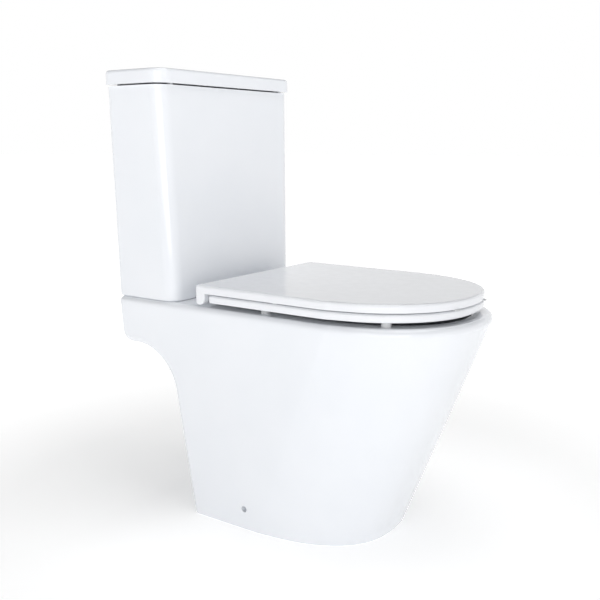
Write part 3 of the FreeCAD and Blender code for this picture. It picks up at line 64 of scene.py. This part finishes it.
# screw threads: distance between turns, and how far a turn stands out
BOLT_PITCH, BOLT_RIDGE = 0.00125, 0.00045
PIPE_PITCH, PIPE_RIDGE = 0.00181, 0.0006
THREAD_STEPS = 40
THREAD_ROOT = 0.00015  # how deep a turn's foot sits in the bar
TURN_SECTION = (
    # whether the corner is on the crest, its height as a share of the pitch
    (0, -0.42),
    (1, -0.06),
    (1, 0.06),
    (0, 0.42),
)

# return springs under the push buttons
SPRING_WIRE = 0.0005
SPRING_TURNS = 5
SPRING_STEPS, WIRE_SIDES = 32, 10

# studio
FLOOR_REACH = 40.0
FLOOR_WHITE, FLOOR_SHADE = (0.90, 0.90, 0.90, 1), (0.89, 0.89, 0.89, 1)
GLOW_NEAR, GLOW_FAR = 0.42, 0.86
GLOW_START, GLOW_END = 0.6, 1.6  # distances from the middle between which the glow changes
SKY = (
    # height over the horizon as the sine of its angle, brightness
    (0.0, 1.0),
    (0.32, 1.0),
    (0.5, 0.03),
    (1.0, 0.0),
)
LIGHTS = (
    # name, place, what it is aimed at, width, height, power
    ("left_bank", (-2.6, -0.6, 1.2), (0, 0, 0.45), 0.8, 2.0, 7.0),
    ("corner_strip", (-1.9, -1.9, 1.0), (0, 0, 0.5), 0.5, 2.0, 2.6),
    ("camera_bank", (-2.3, -1.6, 0.5), (0, 0, 0.35), 1.5, 0.8, 9.0),
    ("top_bank", (0.0, -0.4, 3.0), (0, 0, 0.3), 2.0, 2.0, 37.0),
)


# ---------------------------------------------------------------- material helpers

class Graph:
    """A material and short ways to add nodes to it."""

    def __init__(self, name):
        self.material = bpy.data.materials.new(name)
        self.material.use_nodes = True
        self.tree = self.material.node_tree
        self.tree.nodes.clear()
        self.output = self.tree.nodes.new("ShaderNodeOutputMaterial")
        self.place = self.add("ShaderNodeTexCoord").outputs["Object"]

    def add(self, kind, **settings):
        node = self.tree.nodes.new(kind)
        for key, value in settings.items():
            setattr(node, key, value)
        return node

    def wire(self, source, target):
        self.tree.links.new(source, target)

    def noise(self, scale, detail=3.0, roughness=0.5, stretch=None):
        """A noise whose features are about 1 / scale metres wide."""
        node = self.add("ShaderNodeTexNoise")
        node.inputs["Scale"].default_value = scale
        node.inputs["Detail"].default_value = detail
        node.inputs["Roughness"].default_value = roughness
        place = self.place
        if stretch:
            mapping = self.add("ShaderNodeMapping")
            mapping.inputs["Scale"].default_value = stretch
            self.wire(place, mapping.inputs["Vector"])
            place = mapping.outputs["Vector"]
        self.wire(place, node.inputs["Vector"])
        return node.outputs["Fac"]

    def ramp(self, source, low, high, first, last):
        """The source's values between low and high, turned into values between first and last."""
        node = self.add("ShaderNodeMapRange")
        for key, value in (("From Min", low), ("From Max", high), ("To Min", first), ("To Max", last)):
            node.inputs[key].default_value = value
        self.wire(source, node.inputs["Value"])
        return node.outputs["Result"]

    def mix(self, factor, first, last):
        """A colour between two colours or colour outputs."""
        node = self.add("ShaderNodeMix", data_type="RGBA")
        self.wire(factor, node.inputs["Factor"])
        for key, value in (("A", first), ("B", last)):
            socket = next(s for s in node.inputs if s.name == key and s.type == "RGBA")
            if isinstance(value, tuple):
                socket.default_value = value
            else:
                self.wire(value, socket)
        return next(s for s in node.outputs if s.type == "RGBA")

    def bump(self, height, distance, strength=1.0, normal=None):
        node = self.add("ShaderNodeBump")
        node.inputs["Distance"].default_value = distance
        node.inputs["Strength"].default_value = strength
        self.wire(height, node.inputs["Height"])
        if normal is not None:
            self.wire(normal, node.inputs["Normal"])
        return node.outputs["Normal"]

    def surface(self, color, roughness, normal=None, **constants):
        shader = self.add("ShaderNodeBsdfPrincipled")
        self.wire(color, shader.inputs["Base Color"])
        self.wire(roughness, shader.inputs["Roughness"])
        if normal is not None:
            self.wire(normal, shader.inputs["Normal"])
        for key, value in constants.items():
            shader.inputs[key.replace("_", " ")].default_value = value
        self.wire(shader.outputs["BSDF"], self.output.inputs["Surface"])
        return self.material


def mottle(g, scale, detail, tone, shade, stretch=None):
    """A colour that drifts between a tone and a shade."""
    return g.mix(g.ramp(g.noise(scale, detail, stretch=stretch), 0.35, 0.65, 0, 1), tone, shade)


def glaze(name, tone, shade):
    """White glaze over china: a soft cloudiness, slightly uneven gloss and a very fine orange peel."""
    g = Graph(name)
    color = mottle(g, 9, 2, tone, shade)
    roughness = g.ramp(g.noise(scale=30, detail=3), low=0.3, high=0.7, first=0.07, last=0.13)
    peel = g.bump(g.noise(scale=170, detail=1.5), distance=0.00006, strength=0.5)
    wave = g.bump(g.noise(scale=14, detail=1), distance=0.0006, strength=0.25, normal=peel)
    return g.surface(color, roughness, wave, IOR=1.52, Coat_Weight=0.35, Coat_Roughness=0.03)


def moulded(name, tone, shade, gloss, grain, depth):
    """Moulded plastic: faint flow marks in its colour and a fine grain."""
    g = Graph(name)
    color = mottle(g, 14, 3, tone, shade, stretch=(1, 1, 0.3))
    roughness = g.ramp(g.noise(scale=60, detail=3), low=0.3, high=0.7, first=gloss * 0.85, last=gloss * 1.2)
    relief = g.bump(g.noise(scale=grain, detail=2), distance=depth, strength=0.6)
    return g.surface(color, roughness, relief, IOR=1.5)


def metal(name, tone, shade, gloss, streak, depth):
    """Plated metal: brushed or drawn streaks in gloss and relief."""
    g = Graph(name)
    streaks = g.noise(scale=streak, detail=4, roughness=0.6, stretch=(1, 1, 0.08))
    color = mottle(g, 40, 4, tone, shade)
    roughness = g.ramp(streaks, low=0.25, high=0.75, first=gloss * 0.75, last=gloss * 1.35)
    return g.surface(color, roughness, g.bump(streaks, distance=depth, strength=0.5), Metallic=1.0)


def rubber(name, tone, shade, depth):
    """Moulded rubber: dull, with a fine grain."""
    g = Graph(name)
    color = mottle(g, 90, 4, tone, shade)
    roughness = g.ramp(g.noise(scale=200, detail=3), low=0.3, high=0.7, first=0.55, last=0.8)
    relief = g.bump(g.noise(scale=900, detail=2), distance=depth, strength=0.7)
    return g.surface(color, roughness, relief, IOR=1.45)


# slot: maker(name, tone, shade, then gloss, grain or streak scale and relief depth)
MATERIALS = {
    "glazed_china": glaze("glazed_china", (0.83, 0.85, 0.885, 1), (0.815, 0.838, 0.875, 1)),
    "seat_plastic": moulded("seat_plastic", (0.83, 0.845, 0.875, 1), (0.82, 0.835, 0.868, 1),
                            0.16, 260, 0.00003),
    "white_plastic": moulded("white_plastic", (0.78, 0.78, 0.77, 1), (0.74, 0.74, 0.73, 1),
                             0.42, 700, 0.00006),
    "grey_plastic": moulded("grey_plastic", (0.36, 0.38, 0.40, 1), (0.32, 0.34, 0.36, 1),
                            0.45, 700, 0.00006),
    "blue_plastic": moulded("blue_plastic", (0.03, 0.10, 0.32, 1), (0.025, 0.085, 0.28, 1),
                            0.38, 700, 0.00006),
    "black_rubber": rubber("black_rubber", (0.022, 0.022, 0.023, 1), (0.032, 0.032, 0.033, 1), 0.00008),
    "clear_rubber": rubber("clear_rubber", (0.60, 0.61, 0.62, 1), (0.55, 0.56, 0.57, 1), 0.00005),
    "plated_steel": metal("plated_steel", (0.62, 0.61, 0.57, 1), (0.52, 0.52, 0.50, 1),
                          0.32, 500, 0.00004),
    "spring_steel": metal("spring_steel", (0.42, 0.42, 0.42, 1), (0.34, 0.34, 0.35, 1),
                          0.30, 900, 0.00003),
    "bright_chrome": metal("bright_chrome", (0.70, 0.71, 0.73, 1), (0.67, 0.68, 0.70, 1),
                           0.07, 300, 0.00001),
}

for part in frame["record"]["subparts"]:
    thing = frame["nodes"][part["node"]]
    thing.data.materials.clear()
    thing.data.materials.append(MATERIALS[part["material_slot"]])


# ---------------------------------------------------------------- pieces

def place_piece(name, verts, faces, slot, body):
    """Makes a mesh piece with a slot's material, riding on a body."""
    mesh = bpy.data.meshes.new(name)
    mesh.from_pydata(verts, [], faces)
    mesh.validate()
    mesh.polygons.foreach_set("use_smooth", [True] * len(mesh.polygons))
    mesh.materials.append(MATERIALS[slot])
    piece = bpy.data.objects.new(name, mesh)
    bpy.context.scene.collection.objects.link(piece)
    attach(piece, body)
    return piece


def thread(name, x, y, low, high, radius, pitch, ridge, slot, body):
    """A screw thread round an upright bar: a ridge with a narrow crest, which fades at both ends."""
    turns = (high - low - pitch) / pitch
    count = int(turns * THREAD_STEPS)
    corners = len(TURN_SECTION)
    verts, faces = [], []
    for i in range(count + 1):
        angle = 2 * math.pi * i / THREAD_STEPS
        z = low + pitch / 2 + pitch * i / THREAD_STEPS
        fade = min(1, i / THREAD_STEPS, (count - i) / THREAD_STEPS)
        for crest, rise in TURN_SECTION:
            reach = radius + (ridge * fade if crest else -THREAD_ROOT)
            verts.append((x + reach * math.cos(angle), y + reach * math.sin(angle), z + rise * pitch))
    for i in range(count):
        for k in range(corners):
            a, b = corners * i + k, corners * i + (k + 1) % corners
            faces.append((a, b, b + corners, a + corners))
    faces.append(tuple(reversed(range(corners))))
    faces.append(tuple(corners * count + k for k in range(corners)))
    place_piece(name, verts, faces, slot, body)


def make_threads():
    """Threads on the ends of the bolts and studs past their wing nuts, and on the inlet tail."""
    low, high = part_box("seat_studs")
    stud_radius = (high[1] - low[1]) / 2
    for bolts, nuts in (("coupling_bolts", "coupling_wing_nuts"), ("seat_studs", "seat_wing_nuts")):
        low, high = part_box(bolts)
        middle = high[0] - (high[1] - low[1]) / 2
        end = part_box(nuts)[0][2]
        for side, word in ((-1, "left"), (1, "right")):
            thread(f"{bolts}_thread_{word}", side * middle, (low[1] + high[1]) / 2, low[2], end,
                   stud_radius, BOLT_PITCH, BOLT_RIDGE, "plated_steel", "pan")
    inlet = next(m for m in frame["record"]["mounts"] if m["name"] == "water_inlet")
    low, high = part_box("fill_valve_nut")
    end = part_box("fill_valve_body")[0][2]
    thread("inlet_thread", (low[0] + high[0]) / 2, (low[1] + high[1]) / 2, end, low[2] - PIPE_PITCH,
           inlet["dims"]["r_mm"] / 1000, PIPE_PITCH, PIPE_RIDGE, "white_plastic", "pan")


def make_spring(word):
    """A return spring coil in place of the rigid CAD one, built to fit its box."""
    node = word + "_button_spring"
    low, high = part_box(node)
    x, y = (low[0] + high[0]) / 2, (low[1] + high[1]) / 2
    reach = (high[0] - low[0]) / 2 - SPRING_WIRE
    bottom, height = low[2] + SPRING_WIRE, high[2] - low[2] - 2 * SPRING_WIRE
    count = SPRING_TURNS * SPRING_STEPS
    verts, faces = [], []
    for i in range(count + 1):
        angle = 2 * math.pi * i / SPRING_STEPS
        for k in range(WIRE_SIDES):
            round_wire = 2 * math.pi * k / WIRE_SIDES
            out = reach + SPRING_WIRE * math.cos(round_wire)
            verts.append((x + out * math.cos(angle), y + out * math.sin(angle),
                          bottom + height * i / count + SPRING_WIRE * math.sin(round_wire)))
    for i in range(count):
        for k in range(WIRE_SIDES):
            a, b = WIRE_SIDES * i + k, WIRE_SIDES * i + (k + 1) % WIRE_SIDES
            faces.append((a, a + WIRE_SIDES, b + WIRE_SIDES, b))
    faces.append(tuple(range(WIRE_SIDES)))
    faces.append(tuple(WIRE_SIDES * count + k for k in reversed(range(WIRE_SIDES))))
    spring = place_piece(word + "_spring_coil", verts, faces, "spring_steel", "cistern_lid")
    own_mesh(spring)
    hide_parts(node)


# ---------------------------------------------------------------- studio

def make_floor():
    """A plain pale floor that glows a little, like a lit sweep, a bit less near the object."""
    mesh = bpy.data.meshes.new("floor")
    r = FLOOR_REACH
    mesh.from_pydata([(-r, -r, 0), (r, -r, 0), (r, r, 0), (-r, r, 0)], [], [(0, 1, 2, 3)])
    floor = bpy.data.objects.new("floor", mesh)
    bpy.context.scene.collection.objects.link(floor)
    g = Graph("floor_white")
    tone = g.mix(g.ramp(g.noise(0.5, 2), 0.3, 0.7, 0, 1), FLOOR_WHITE, FLOOR_SHADE)
    roughness = g.ramp(g.noise(3, 2), 0.3, 0.7, 0.75, 0.85)
    length = g.add("ShaderNodeVectorMath", operation="LENGTH")
    g.wire(g.place, length.inputs[0])
    glow = g.ramp(length.outputs["Value"], GLOW_START, GLOW_END, GLOW_NEAR, GLOW_FAR)
    shader_material = g.surface(tone, roughness, Specular_IOR_Level=0.0)
    shader = next(n for n in g.tree.nodes if n.type == "BSDF_PRINCIPLED")
    shader.inputs["Emission Color"].default_value = (1, 1, 1, 1)
    g.wire(glow, shader.inputs["Emission Strength"])
    mesh.materials.append(shader_material)


def make_world():
    """Studio surroundings: white round the horizon and dark overhead."""
    world = bpy.data.worlds.new("studio")
    bpy.context.scene.world = world
    world.use_nodes = True
    tree = world.node_tree
    tree.nodes.clear()
    place = tree.nodes.new("ShaderNodeTexCoord")
    split = tree.nodes.new("ShaderNodeSeparateXYZ")
    ramp = tree.nodes.new("ShaderNodeValToRGB")
    background = tree.nodes.new("ShaderNodeBackground")
    output = tree.nodes.new("ShaderNodeOutputWorld")
    tree.links.new(place.outputs["Generated"], split.inputs["Vector"])
    tree.links.new(split.outputs["Z"], ramp.inputs["Fac"])
    tree.links.new(ramp.outputs["Color"], background.inputs["Color"])
    tree.links.new(background.outputs["Background"], output.inputs["Surface"])
    stops = ramp.color_ramp.elements
    while len(stops) < len(SKY):
        stops.new(1.0)
    for stop, (height, brightness) in zip(stops, SKY):
        stop.position = height
        stop.color = (brightness, brightness, brightness, 1)


def area_light(name, place, target, width, height, power):
    data = bpy.data.lights.new(name, "AREA")
    data.shape = "RECTANGLE"
    data.size, data.size_y, data.energy = width, height, power
    light = bpy.data.objects.new(name, data)
    light.location = place
    light.rotation_euler = (Vector(target) - Vector(place)).to_track_quat("-Z", "Y").to_euler()
    bpy.context.scene.collection.objects.link(light)


def make_camera():
    data = bpy.data.cameras.new("camera")
    data.lens, data.sensor_width = CAMERA_LENS, CAMERA_SENSOR
    data.clip_end = 100
    camera = bpy.data.objects.new("camera", data)
    camera.location = CAMERA_PLACE
    camera.rotation_euler = (-CAMERA_BACK).to_track_quat("-Z", "Y").to_euler()
    bpy.context.scene.collection.objects.link(camera)
    bpy.context.scene.camera = camera


make_threads()
for word in ("full", "half"):
    make_spring(word)
make_floor()
make_world()
for light in LIGHTS:
    area_light(*light)
make_camera()
bpy.context.scene.view_settings.view_transform = "Standard"
